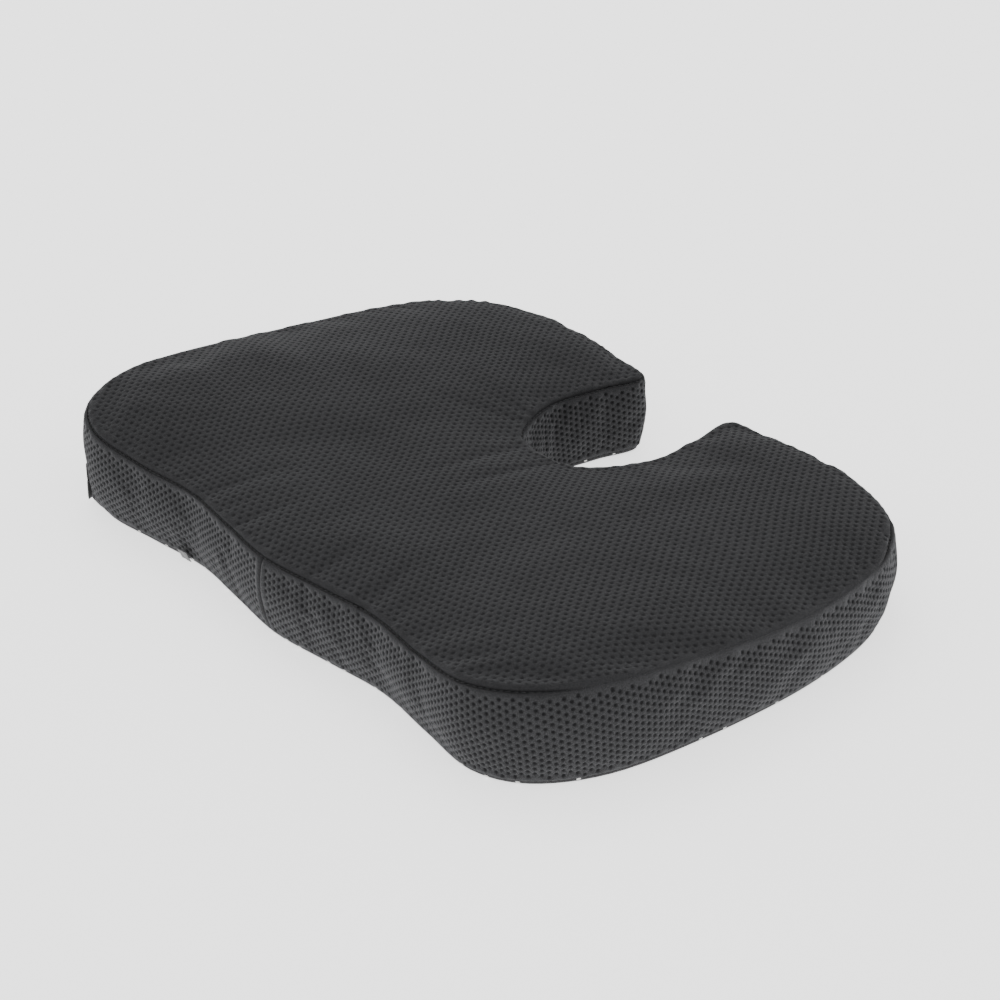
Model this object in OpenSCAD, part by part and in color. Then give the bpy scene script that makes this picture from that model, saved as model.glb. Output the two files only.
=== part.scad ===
// U-shaped seat cushion: a foam core in a zipped mesh cover with a tailbone notch.
// Origin: centre of the underside. +X right, +Y to the rear (the notch opens at +Y), +Z up.

/* [Plan] */
// Scale of the plan shape, 1 gives about 445 mm overall width
plan_scale = 1; // [0.9:0.05:1.1]
// Half of the width at the widest station
half_w = 220; // [215:1:225]
// Y of the widest station
wide_y = -37.5; // [-45:0.5:-30]
// Y of the middle of the front edge
front_y = -147.5; // [-150:0.5:-145]
// Depth of each leg scallop in the front edge
scallop = 9; // [5:0.5:12]
// Width of the rounded front corner
front_w = 70; // [64:1:76]
// Roundness of the front corner, 2 is an ellipse and higher is squarer
front_pow = 2.5; // [2:0.1:3]
// Width of the rear lobe's rounding
lobe_w = 125; // [118:1:132]
// Roundness of the rear lobe, 2 is an ellipse and higher is squarer
lobe_pow = 3; // [2.5:0.1:3.5]
// Y of the rear lobes' ends
rear_y = 147.5; // [145:0.5:150]
// Half width of the tailbone notch at its middle
notch_half = 42; // [36:1:46]
// Y of the notch's closed end
notch_end_y = 37.5; // [25:0.1:50]

/* [Heights] */
// Height of the top seam at the middle of the front edge
seam_front = 49; // [44:1:54]
// Height of the top seam along the sides and the rear
seam_rear = 47; // [44:1:58]
// Extra seam height at the two front corners
corner_lift = 8; // [0:1:10]
// Height of the padded crown above the top seam
crown = 6; // [4:1:14]
// Width of the rounded shoulder beside the seams
shoulder = 58; // [40:2:80]

/* [Wall shape] */
// Outward bulge of the side wall
wall_bulge = 3; // [0:0.5:6]
// How far the side wall tucks in at the bottom seam
wall_tuck = 4; // [2:0.5:8]

/* [Layers] */
// Thickness of the spacer mesh cover
mesh_t = 2.4; // [1.6:0.2:3]
// Thickness of the inner liner
liner_t = 0.6; // [0.4:0.1:0.8]
// Gap left between neighbouring layers
layer_gap = 0.4; // [0.3:0.05:0.5]
// Thickness of the anti-slip bottom fabric
base_t = 1.6; // [1:0.1:2]
// Height of the rubber grip dots and of the bottom hem
dot_h = 0.6; // [0.4:0.1:0.8]
// Diameter of a grip dot
dot_d = 3.2; // [2.4:0.2:5]
// Pitch of the grip dots
dot_pitch = 14; // [12:1:24]

/* [Zip] */
// Radius of the zip's track in plan
zip_r = 316; // [314:1:318]
// Height of the row of teeth
zip_z = 15; // [14:0.5:17]
// Pitch of the teeth
tooth_pitch = 3; // [2.5:0.5:5]
// Length of the pull tab from its pivot
pull_l = 13.6; // [10:0.2:14]
// Width of the pull tab
pull_w = 4.4; // [3:0.2:6]
// Radius of the bail bar that the pull tab turns on
bail_r = 0.8; // [0.6:0.05:1]
// Radial clearance of the pull tab's eye on the bail bar
eye_play = 0.08; // [0.03:0.01:0.1]

/* [Hidden] */

charcoal = [0.21, 0.21, 0.22];
dark = [0.15, 0.15, 0.16];

// ---- plan outline: corners of the right half, from the middle of the front edge
// round the side and the lobe to the middle of the notch's closed end. The front edge
// is one smooth scallop, the front corner and the rear lobe are superellipse quarters
// that meet at the widest station, and the notch is set from its width and its end.
function quarter(w, d, n, t) = [half_w - w + w * pow(cos(t), 2 / n), wide_y + d * pow(sin(t), 2 / n)];
scallop_w = quarter(front_w, 0, front_pow, 81)[0];
RH = concat(
    [for (k = [0:3]) [scallop_w * k / 4, front_y + scallop * pow(sin(45 * k), 2)]],
    [for (t = [81, 54, 25]) quarter(front_w, front_y - wide_y, front_pow, t)],
    [[half_w, wide_y]],
    [for (t = [12, 30, 45, 65, 86]) quarter(lobe_w, rear_y - wide_y, lobe_pow, t)],
    [[notch_half + 20, rear_y - 1], [notch_half - 6, rear_y - 7], [notch_half - 2, rear_y - 36],
    [notch_half, notch_end_y + 39], [notch_half - 17, notch_end_y + 7], [0, notch_end_y]]) * plan_scale;
HN = len(RH) - 1;
UN = 2 * HN;
POLE = 12;
function wrap(i) = ((i % UN) + UN) % UN;
function corner(i) = let (k = wrap(i)) k <= HN ? RH[k] : [-RH[UN - k][0], RH[UN - k][1]];
function cr(p0, p1, p2, p3, t) = 0.5 * (2 * p1 + (p2 - p0) * t + (2 * p0 - 5 * p1 + 4 * p2 - p3) * t * t
    + (3 * p1 - p0 - 3 * p2 + p3) * t * t * t);
function at(u) = let (i = floor(u), t = u - i) cr(corner(i - 1), corner(i), corner(i + 1), corner(i + 2), t);
function unit(v) = v / norm(v);
// unit normal that points into the cushion
function inward(u) = let (d = unit(at(u + 0.05) - at(u - 0.05))) [-d[1], d[0]];
function smooth(a, b, x) = let (t = max(0, min(1, (x - a) / (b - a)))) t * t * (3 - 2 * t);
function mirror_u(u) = let (k = wrap(u)) k <= HN ? k : UN - k;

// ---- heights
function seam_z(u) = let (p = at(u))
    seam_front + (seam_rear - seam_front) * smooth(-140, 50, p[1])
    + corner_lift * smooth(110, 205, abs(p[0])) * (1 - smooth(-100, 50, p[1]));
base_z = dot_h + base_t + layer_gap;

// ---- zip track: a circular arc along the left side
ZC = [99.5, -2.5];
zip_a0 = 205.4;
zip_a1 = 163.8;
zip_top = zip_z + 9.4;
function zip_gap(u) = max(0, norm(at(u) - ZC) - zip_r);
function zip_zone(u) = let (k = UN - wrap(u))
    smooth(4.1, 4.55, k) * (1 - smooth(9.35, 9.8, k));

// ---- wall: how far the cover's outer face lies inside the plan outline at height z
function notch_part(u) = let (k = mirror_u(u)) smooth(12.6, 14.5, k);
function wall_in(u, z) = let (zt = seam_z(u), n = notch_part(u), g = zip_zone(u),
        h = max(0, min(1, (z - base_z) / (zt - base_z))),
        bulge = wall_bulge * (1 - 0.6 * n), tuck = wall_tuck * (1 - 0.6 * n),
        plain = tuck * pow(1 - h, 2) - bulge * 4 * h * (1 - h),
        h2 = max(0, min(1, (z - zip_top) / (zt - zip_top))),
        zipped = zip_gap(u) * pow(1 - h2, 1.5) - bulge * 3 * h2 * (1 - h2))
    (1 - g) * plain + g * zipped;
function wall_pt(u, z, e) = let (p = at(u) + inward(u) * (wall_in(u, z) + e)) [p[0], p[1], z];

// ---- rungs: lines that cross the cushion from the notch side to the outer side
RN = 24;
function rung_out(j) = let (s = abs(j) / RN) (j < 0 ? -1 : 1) * (POLE - 0.25) * s;
function rung_in(j) = let (s = abs(j) / RN) HN - (j < 0 ? -1 : 1) * (HN - POLE - 0.25) * pow(s, 1.3);
TS = [0, 0.04, 0.1, 0.2, 0.35, 0.5, 0.65, 0.8, 0.9, 0.96, 1];
function top_pt(j, t, e, drop) = let (ub = rung_out(j), ua = rung_in(j),
        a = at(ua) + inward(ua) * e, b = at(ub) + inward(ub) * e,
        p = a + (b - a) * t, d = min(t, 1 - t) * norm(b - a),
        z = seam_z(ua) * (1 - t) + seam_z(ub) * t,
        f = 1 - pow(1 - min(d / shoulder, 1), 2))
    [p[0], p[1], z + crown * f - drop];

// a closed tube through rings of points, all with the same number of points; from
// point "turn" on, the sides are split along their other diagonal, so that the inner
// face of a layer stays parallel to its outer face
module loft(rings, turn = 10000) {
    n = len(rings);
    m = len(rings[0]);
    pts = [for (r = rings) each r];
    sides = [for (i = [0:n - 2], k = [0:m - 1]) let (a = i * m + k, b = i * m + (k + 1) % m)
        each (k < turn ? [[a, b, a + m], [b, b + m, a + m]] : [[a, b, b + m], [a, b + m, a + m]])];
    cap0 = [for (k = [1:m - 2]) [0, k + 1, k]];
    cap1 = [for (k = [1:m - 2]) let (q = (n - 1) * m) [q, q + k, q + k + 1]];
    polyhedron(pts, concat(sides, cap0, cap1), convexity = 10);
}
// the same for rings that close on themselves
module hoop(rings) {
    n = len(rings);
    m = len(rings[0]);
    pts = [for (r = rings) each r];
    sides = [for (i = [0:n - 1], k = [0:m - 1])
        let (a = i * m + k, b = i * m + (k + 1) % m, c = ((i + 1) % n) * m + k, d = ((i + 1) % n) * m + (k + 1) % m)
        each [[a, b, c], [b, d, c]]];
    polyhedron(pts, sides, convexity = 10);
}

// room kept free behind the zip
function zip_room(u, z) = zip_zone(u) * (z <= zip_top + 0.5 ? 1.4 : 0);
function wall_col(u, levels, e) = [for (z = levels) wall_pt(u, z, e + zip_room(u, z))];
function flip(v) = [for (i = [len(v) - 1:-1:0]) v[i]];

// ---- foam and liner sections
function levels(u, z0, z1) = [z0, zip_top, (zip_top + z1) / 2 + 2, z1];
foam_e = mesh_t + liner_t + 2 * layer_gap + 0.2;
foam_z = base_z + liner_t + layer_gap;
liner_split = 30;

function full_ring(j, e, z0, drop) = let (ub = rung_out(j), ua = rung_in(j))
    concat(wall_col(ua, levels(ua, z0, seam_z(ua) - drop - 1.5), e),
        [for (t = [for (i = [1:len(TS) - 2]) TS[i]]) top_pt(j, t, e, drop)],
        flip(wall_col(ub, levels(ub, z0, seam_z(ub) - drop - 1.5), e)));
module foam_core() color("ivory")
    loft([for (j = [-RN:RN]) full_ring(j, foam_e, foam_z, foam_e)]);

// upper liner: an open-bottomed cap over the foam
function cap_ring(j, e, drop, z0) = let (ub = rung_out(j), ua = rung_in(j))
    concat(cap_side(ua, e, drop, z0), [for (i = [1:len(TS) - 2]) top_pt(j, TS[i], e, drop)],
        flip(cap_side(ub, e, drop, z0)));
function cap_side(u, e, drop, z0) = let (z1 = seam_z(u) - drop - 1.5)
    [wall_pt(u, z0, e), wall_pt(u, (zip_top + z1) / 2 + 2, e), wall_pt(u, z1, e)];
function shell_ring(j, e, drop, z0) = concat(cap_ring(j, e, drop, z0), flip(cap_ring(j, e + liner_t, drop + liner_t, z0)));
module liner_upper() color("white")
    loft([for (j = [-RN:RN]) shell_ring(j, mesh_t + layer_gap, mesh_t + layer_gap, liner_split + 0.4)],
        len(TS) + 4);

// lower liner: a shallow tray under the foam
function tray_ring(j, e, z0) = let (ub = rung_out(j), ua = rung_in(j))
    concat([wall_pt(ua, liner_split, e)], flip(wall_col(ua, [z0, zip_top], e)),
        wall_col(ub, [z0, zip_top], e), [wall_pt(ub, liner_split, e)]);
module liner_lower() color("white")
    loft([for (j = [-RN:RN]) concat(flip(tray_ring(j, mesh_t + layer_gap, base_z)),
        tray_ring(j, mesh_t + layer_gap + liner_t, base_z + liner_t))], 6);

// ---- cover
module top_panel() color(charcoal)
    loft([for (j = [-RN:RN]) concat([for (t = TS) top_pt(j, t, 0, 0)], flip([for (t = TS) top_pt(j, t, 0, mesh_t)]))], len(TS));

US_OUT = [for (j = [0:RN]) rung_out(j)];
US_IN = [for (j = [0:RN]) rung_in(j)];
US_RIGHT = concat([0.012], [for (i = [1:RN]) US_OUT[i]], [POLE - 0.01]);
US_NOTCH = concat([POLE + 0.01], [for (i = [RN:-1:0]) US_IN[i]], [for (i = [1:RN]) UN - US_IN[i]], [UN - POLE - 0.01]);
zip_u0 = UN - 9.27;
zip_u1 = UN - 4.6;
US_LEFT = concat([UN - POLE + 0.01], [for (i = [RN:-1:1]) if (UN - US_OUT[i] < zip_u0 - 0.1) UN - US_OUT[i]],
    [zip_u0 - 0.02, zip_u0 + 0.02], [for (i = [RN:-1:1]) if (UN - US_OUT[i] > zip_u0 + 0.1 && UN - US_OUT[i] < zip_u1 - 0.1) UN - US_OUT[i]],
    [zip_u1 - 0.02, zip_u1 + 0.02], [for (i = [RN:-1:1]) if (UN - US_OUT[i] > zip_u1 + 0.1) UN - US_OUT[i]], [UN - 0.012]);
function wall_ring(u, z0, z1) = concat([for (k = [0:4]) wall_pt(u, z0 + (z1 - z0) * k / 4, 0)],
    flip([for (k = [0:4]) wall_pt(u, z0 + (z1 - z0) * k / 4, mesh_t)]));
function wall_top(u) = seam_z(u) - mesh_t - layer_gap;
module boxing_right() color(charcoal) loft([for (u = US_RIGHT) wall_ring(u, base_z, wall_top(u))]);
module boxing_notch() color(dark) loft([for (u = US_NOTCH) wall_ring(u, base_z, wall_top(u))]);
module boxing_left() color(charcoal)
    loft([for (u = US_LEFT) wall_ring(u, u > zip_u0 && u < zip_u1 ? zip_top : base_z, wall_top(u))]);

// ---- underside
UB = [for (i = [0:4 * UN - 1]) i / 4];
function base_in(u) = wall_in(u, base_z);
function base_poly(e) = [for (u = UB) let (p = at(u) + inward(u) * (base_in(u) + e)) p];
module bottom_panel() color(dark) {
    translate([0, 0, dot_h]) linear_extrude(base_t) polygon(base_poly(0));
    linear_extrude(dot_h + 0.2) difference() {
        polygon(base_poly(0));
        polygon(base_poly(6));
    }
}
function crossings(p, c, i = 0, n = 0) = i >= len(c) ? n
    : let (a = c[i], b = c[(i + 1) % len(c)])
    crossings(p, c, i + 1, n + (((a[1] > p[1]) != (b[1] > p[1]))
        && (p[0] < (b[0] - a[0]) * (p[1] - a[1]) / (b[1] - a[1]) + a[0]) ? 1 : 0));
dot_edge = base_poly(6 + dot_d / 2 + 1);
module grip_dots() color("white")
    for (r = [-14:14], c = [-17:17]) {
        p = [(c + (r % 2 == 0 ? 0 : 0.5)) * dot_pitch, r * dot_pitch * sin(60)];
        if (abs(p[0]) < 225 && abs(p[1]) < 158 && crossings(p, dot_edge) % 2 == 1)
            translate([p[0], p[1], 0]) cylinder(h = dot_h, d = dot_d, $fn = 24);
    }

// ---- sewing threads that stand proud in the seams
function thread_ring(u, z, e, r) = let (d = inward(u), p = at(u) + d * e)
    [for (a = [0:90:270]) [p[0] + d[0] * r * cos(a), p[1] + d[1] * r * cos(a), z + r * sin(a)]];
US_ALL = concat([0], [for (i = [1:RN]) US_OUT[i]], [POLE], [for (i = [RN:-1:1]) US_IN[i]], [HN],
    [for (i = [1:RN]) UN - US_IN[i]], [UN - POLE], [for (i = [RN:-1:1]) UN - US_OUT[i]]);
module top_seam_thread() color("black")
    hoop([for (u = US_ALL) thread_ring(u, seam_z(u) - mesh_t + 0.2, -0.95, 0.4)]);
module bottom_seam_thread() color("black")
    hoop([for (u = UB) thread_ring(u, dot_h + 0.6, base_in(u) - 0.85, 0.35)]);
module join_thread(u) loft([for (k = [0:10]) let (z = base_z + 1 + (wall_top(u) - base_z - 2) * k / 10,
    d = inward(u), s = [-d[1], d[0]], p = at(u) + d * (wall_in(u, z) - 0.8))
    [for (a = [0:90:270]) [p[0] + d[0] * 0.4 * cos(a) + s[0] * 0.4 * sin(a), p[1] + d[1] * 0.4 * cos(a) + s[1] * 0.4 * sin(a), z]]]);
module front_join_thread() color("black") join_thread(0);
module rear_join_threads() color("black") { join_thread(POLE); join_thread(UN - POLE); }

// ---- zip
module track(a0, a1, r0, r1, z0, z1)
    translate([ZC[0], ZC[1], 0]) rotate([0, 0, a0]) rotate_extrude(angle = a1 - a0, $fn = 720)
        translate([r0, z0]) square([r1 - r0, z1 - z0]);
tape_t = 0.9;
mm_deg = 180 / PI / zip_r;
module zip_tape_upper() color("black")
    track(zip_a1, zip_a0, zip_r - tape_t / 2, zip_r + tape_t / 2, zip_z + 2.9, zip_top - 0.3);
module zip_tape_lower() color("black")
    track(zip_a1, zip_a0, zip_r - tape_t / 2, zip_r + tape_t / 2, base_z, zip_z - 2.9);
module teeth(shift, z0, z1, rail0, rail1) {
    track(zip_a1 + 7 * mm_deg, zip_a0 - 3.5 * mm_deg, zip_r - 0.9, zip_r + 0.9, rail0, rail1);
    span = zip_a0 - zip_a1 - 14 * mm_deg;
    for (k = [0:floor(span / (tooth_pitch * mm_deg)) - 1])
        translate([ZC[0], ZC[1], 0]) rotate([0, 0, zip_a1 + (8.4 + k * tooth_pitch + shift) * mm_deg])
            translate([zip_r - 0.8, 0, z0]) cube([1.6, 1.2, z1 - z0]);
}
module zip_teeth_lower() color("dimgray") teeth(0, zip_z - 2.2, zip_z + 1.4, zip_z - 2.8, zip_z - 1.8);
module zip_teeth_upper() color("dimgray") teeth(tooth_pitch / 2, zip_z - 1.4, zip_z + 2.2, zip_z + 1.8, zip_z + 2.8);
// moulded block that ends the row at the rear
module zip_end_stop() color("dimgray")
    track(zip_a1 + 1.4 * mm_deg, zip_a1 + 6.3 * mm_deg, zip_r - 1.2, zip_r + 1.2, zip_z - 2.7, zip_z + 2.7);
// two small clips that stop the slider at the front corner
module zip_start_stops() color("silver") {
    track(zip_a0 - 3 * mm_deg, zip_a0 - 1.6 * mm_deg, zip_r + 0.55, zip_r + 1.25, zip_z + 3.2, zip_z + 5.4);
    track(zip_a0 - 3 * mm_deg, zip_a0 - 1.6 * mm_deg, zip_r + 0.55, zip_r + 1.25, zip_z - 5.4, zip_z - 3.2);
}
slider_a = zip_a0 - 10.2 * mm_deg;
slider_l = 11;
bail_x = zip_r + 5;
// the slider's own place: x points out of the track, y back along it
module at_slider() translate([ZC[0], ZC[1], 0]) rotate([0, 0, slider_a]) children();
module plate(x0, x1) translate([x0, 0, zip_z]) rotate([0, 90, 0]) linear_extrude(x1 - x0)
    polygon([[-4.6, 5.5], [-3.4, -5.5], [3.4, -5.5], [4.6, 5.5]]);
module zip_slider() color("silver") at_slider() {
    plate(zip_r + 1.4, zip_r + 2.5);
    plate(zip_r - 2.5, zip_r - 1.4);
    // bail: a round bar on two posts
    translate([bail_x, 0, zip_z]) rotate([90, 0, 0]) cylinder(h = 7.6, r = bail_r, center = true, $fn = 32);
    for (s = [-1, 1]) translate([zip_r + 2.3, s * 3.8 - 0.7, zip_z - 1.1]) cube([bail_x + 1 - zip_r - 2.3, 1.4, 2.2]);
}
module zip_pull() color("silver") at_slider() difference() {
    union() {
        translate([bail_x, 0, zip_z]) rotate([90, 0, 0]) cylinder(h = pull_w, r = 1.8, center = true, $fn = 32);
        translate([bail_x - 0.6, -pull_w / 2, zip_z - pull_l + 2]) cube([1.2, pull_w, pull_l - 2.6]);
        translate([bail_x - 0.6, 0, zip_z - pull_l + pull_w / 2]) rotate([0, 90, 0])
            cylinder(h = 1.2, d = pull_w, $fn = 32);
    }
    translate([bail_x, 0, zip_z]) rotate([90, 0, 0]) cylinder(h = pull_w + 2, r = bail_r + eye_play, center = true, $fn = 32);
    translate([bail_x - 2, 0, zip_z - pull_l + pull_w / 2 + 0.4]) rotate([0, 90, 0]) cylinder(h = 4, d = 1.6, $fn = 32);
}

// small blank label caught in the bottom seam of the front
label_u = UN - 2.2;
module care_label() color("white")
    loft([for (s = [-0.09, 0, 0.09]) let (u = label_u + s) concat(
        [for (z = [base_z + 0.3, 5, 7, 9.4]) wall_pt(u, z, -1.3)],
        [for (z = [9.4, 7, 5, base_z + 0.3]) wall_pt(u, z, -0.8)])]);

foam_core();
liner_upper();
liner_lower();
top_panel();
boxing_right();
boxing_left();
boxing_notch();
bottom_panel();
grip_dots();
top_seam_thread();
bottom_seam_thread();
front_join_thread();
rear_join_threads();
zip_tape_upper();
zip_tape_lower();
zip_teeth_upper();
zip_teeth_lower();
zip_end_stop();
zip_start_stops();
zip_slider();
zip_pull();
care_label();
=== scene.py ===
import bpy
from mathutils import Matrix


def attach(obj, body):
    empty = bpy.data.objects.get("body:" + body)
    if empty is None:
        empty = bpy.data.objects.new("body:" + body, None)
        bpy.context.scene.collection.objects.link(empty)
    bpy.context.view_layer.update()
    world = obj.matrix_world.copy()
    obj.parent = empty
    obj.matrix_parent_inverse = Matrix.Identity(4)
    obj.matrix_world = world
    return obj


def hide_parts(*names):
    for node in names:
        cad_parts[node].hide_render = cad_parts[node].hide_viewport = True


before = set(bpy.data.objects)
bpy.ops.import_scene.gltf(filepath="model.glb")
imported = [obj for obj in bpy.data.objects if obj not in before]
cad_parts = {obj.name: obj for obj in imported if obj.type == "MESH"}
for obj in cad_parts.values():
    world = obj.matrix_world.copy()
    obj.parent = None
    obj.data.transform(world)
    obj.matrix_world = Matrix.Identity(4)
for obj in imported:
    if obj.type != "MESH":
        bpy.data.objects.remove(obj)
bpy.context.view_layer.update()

import bpy, bmesh, math
import numpy as np
from mathutils import Vector, Matrix
from mathutils.bvhtree import BVHTree
from mathutils.geometry import delaunay_2d_cdt

MM = 0.001

# ---------------------------------------------------------------- camera
FOCAL_PX = 3017.0
CAM_AZ, CAM_EL, CAM_DIST, CAM_ROLL = 37.681, 29.520, 1.6588, -0.704
CAM_REF = Vector((-0.0105, 0.00425, 0.0))      # point the view turns about
CAM_OFF = (-15.9, 39.8)                           # where that point lies from the picture's middle, px


def make_camera():
    a, e = math.radians(CAM_AZ), math.radians(CAM_EL)
    d = Vector((math.cos(e) * math.cos(a), -math.cos(e) * math.sin(a), math.sin(e)))
    eye = CAM_REF + d * CAM_DIST
    fwd = -d
    right = fwd.cross(Vector((0, 0, 1))).normalized()
    up = right.cross(fwd)
    ro = math.radians(CAM_ROLL)
    right, up = right * math.cos(ro) + up * math.sin(ro), up * math.cos(ro) - right * math.sin(ro)
    cam = bpy.data.cameras.new("camera")
    cam.sensor_width = 36.0
    cam.lens = FOCAL_PX / 1000.0 * 36.0
    cam.shift_x = -CAM_OFF[0] / 1000.0
    cam.shift_y = CAM_OFF[1] / 1000.0
    cam.clip_start, cam.clip_end = 0.05, 50.0
    ob = bpy.data.objects.new("camera", cam)
    bpy.context.scene.collection.objects.link(ob)
    m = Matrix.Identity(4)
    for i, v in enumerate((right, up, -fwd)):
        for k in range(3):
            m[k][i] = v[k]
    m.translation = eye
    ob.matrix_world = m
    bpy.context.scene.camera = ob
    return ob


make_camera()

# ---------------------------------------------------------------- plan shape, in mm
def quarter(w, d, n, t):
    t = np.radians(t)
    return [220 - w + w * np.cos(t) ** (2 / n), -37.5 + d * np.sin(t) ** (2 / n)]


RH = np.array([[quarter(70, 0, 2.5, 81)[0] * k / 4, -147.5 + 9 * np.sin(np.pi * k / 4) ** 2] for k in range(4)]
              + [quarter(70, -110, 2.5, t) for t in (81, 54, 25)] + [[220, -37.5]]
              + [quarter(125, 185, 3, t) for t in (12, 30, 45, 65, 86)]
              + [[62, 146.5], [36, 140.5], [40, 111.5], [42, 76.5], [25, 44.5], [0, 37.5]], float)
HN, UN, POLE = 18, 36, 12
CP = np.concatenate([RH, RH[1:HN][::-1] * [-1, 1]])
SEAM_F, SEAM_R, CORNER, CROWN, SHOULDER = 49.0, 47.0, 8.0, 6.0, 58.0
BULGE, TUCK, BASE_Z = 3.0, 4.0, 2.6
ZC, ZR, ZIP_Z = np.array([99.5, -2.5]), 316.0, 15.0
ZIP_TOP = ZIP_Z + 9.4


def at(u):
    u = np.asarray(u, float)
    i = np.floor(u).astype(int)
    t = (u - i)[..., None]
    p0, p1, p2, p3 = [CP[(i + k) % UN] for k in (-1, 0, 1, 2)]
    return 0.5 * (2 * p1 + (p2 - p0) * t + (2 * p0 - 5 * p1 + 4 * p2 - p3) * t * t
                  + (3 * p1 - p0 - 3 * p2 + p3) * t ** 3)


def inward(u):
    u = np.asarray(u, float)
    d = at(u + 0.05) - at(u - 0.05)
    d /= np.linalg.norm(d, axis=-1, keepdims=True)
    return np.stack([-d[..., 1], d[..., 0]], -1)


def smooth(a, b, x):
    t = np.clip((np.asarray(x, float) - a) / (b - a), 0, 1)
    return t * t * (3 - 2 * t)


def seam_z(u):
    p = at(u)
    x, y = np.abs(p[..., 0]), p[..., 1]
    return (SEAM_F + (SEAM_R - SEAM_F) * smooth(-140, 50, y)
            + CORNER * smooth(110, 205, x) * (1 - smooth(-100, 50, y)))


def zip_gap(u):
    return np.maximum(0, np.linalg.norm(at(u) - ZC, axis=-1) - ZR)


def zip_zone(u):
    k = UN - np.mod(u, UN)
    return smooth(4.1, 4.55, k) * (1 - smooth(9.35, 9.8, k))


def wall_in(u, z):
    """How far the wall's outer face lies inside the plan outline."""
    u = np.asarray(u, float)
    zt = seam_z(u)
    k = np.mod(u, UN)
    k = np.where(k <= HN, k, UN - k)
    n = smooth(12.6, 14.5, k)
    g = zip_zone(u)
    h = np.clip((z - BASE_Z) / (zt - BASE_Z), 0, 1)
    bulge, tuck = BULGE * (1 - 0.6 * n), TUCK * (1 - 0.6 * n)
    plain = tuck * (1 - h) ** 2 - bulge * 4 * h * (1 - h)
    h2 = np.clip((z - ZIP_TOP) / (zt - ZIP_TOP), 0, 1)
    zipped = zip_gap(u) * (1 - h2) ** 1.5 - bulge * 3 * h2 * (1 - h2)
    return (1 - g) * plain + g * zipped


# smooth repeatable noise
def _hash(ix, iy, seed):
    n = (ix * 374761393 + iy * 668265263 + seed * 1442695041) & 0x7FFFFFFF
    n = ((n ^ (n >> 13)) * 1274126177) & 0x7FFFFFFF
    return ((n ^ (n >> 16)) & 0xFFFF) / 32767.5 - 1.0


def noise2(x, y, seed=0):
    x, y = np.asarray(x, float), np.asarray(y, float)
    x, y = np.broadcast_arrays(x, y)
    ix, iy = np.floor(x).astype(np.int64), np.floor(y).astype(np.int64)
    fx, fy = x - ix, y - iy
    fx, fy = fx ** 3 * (fx * (fx * 6 - 15) + 10), fy ** 3 * (fy * (fy * 6 - 15) + 10)
    a, b = _hash(ix, iy, seed), _hash(ix + 1, iy, seed)
    c, d = _hash(ix, iy + 1, seed), _hash(ix + 1, iy + 1, seed)
    return (a * (1 - fx) + b * fx) * (1 - fy) + (c * (1 - fx) + d * fx) * fy


# ---------------------------------------------------------------- helpers
def new_mesh(name, verts_mm, faces, mat=None, smooth_shade=True, attrs=None, mats=None, midx=None):
    me = bpy.data.meshes.new(name)
    v = np.asarray(verts_mm, float) * MM
    if isinstance(faces, np.ndarray):
        n, k = faces.shape
        me.vertices.add(len(v))
        me.vertices.foreach_set("co", v.ravel())
        me.loops.add(n * k)
        me.loops.foreach_set("vertex_index", faces.ravel().astype(np.int32))
        me.polygons.add(n)
        me.polygons.foreach_set("loop_start", (np.arange(n) * k).astype(np.int32))
        me.update(calc_edges=True)
    else:
        me.from_pydata([tuple(p) for p in v], [], [tuple(int(i) for i in f) for f in faces])
        me.update()
    me.validate()
    if smooth_shade:
        me.polygons.foreach_set("use_smooth", [True] * len(me.polygons))
    for key, val in (attrs or {}).items():
        a = me.attributes.new(key, "FLOAT", "POINT")
        a.data.foreach_set("value", np.asarray(val, np.float32))
    ob = bpy.data.objects.new(name, me)
    bpy.context.scene.collection.objects.link(ob)
    for m in ([mat] if mat else []) + list(mats or []):
        me.materials.append(m)
    if midx is not None:
        me.polygons.foreach_set("material_index", np.asarray(midx, np.int32))
    return ob


# ---------------------------------------------------------------- base form: one closed net
NR, NT, NV = 72, 36, 10
JS = np.arange(-NR, NR + 1)
S_ = np.abs(JS) / NR
SG = np.where(JS < 0, -1.0, 1.0)
U_OUT = SG * POLE * S_
U_IN = HN - SG * (HN - POLE) * S_ ** 1.3
TT = 0.5 - 0.5 * np.cos(np.pi * (np.arange(NT + 1) / NT) ** 1.0)
TT = 0.55 * TT + 0.45 * np.arange(NT + 1) / NT


def top_rest():
    a, b = at(U_IN), at(U_OUT)
    p = a[:, None] + (b - a)[:, None] * TT[None, :, None]
    L = np.linalg.norm(b - a, axis=1)[:, None]
    d = np.minimum(TT, 1 - TT)[None] * L
    z = seam_z(U_IN)[:, None] * (1 - TT) + seam_z(U_OUT)[:, None] * TT
    f = 1 - (1 - np.minimum(d / SHOULDER, 1)) ** 2
    return np.concatenate([p, (z + (CROWN - 1.5) * f)[..., None]], -1)


TOP0 = top_rest()
NB = 4 * NR                                    # points round the outline
U_B = np.concatenate([U_OUT, U_IN[1:-1][::-1]])  # from the left pole round the front to the right pole, then back round the notch
# indices
idx = np.full((2 * NR + 1, NT + 1), -1, int)
verts = []
b_of = {}


def add(p):
    verts.append(p)
    return len(verts) - 1


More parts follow.
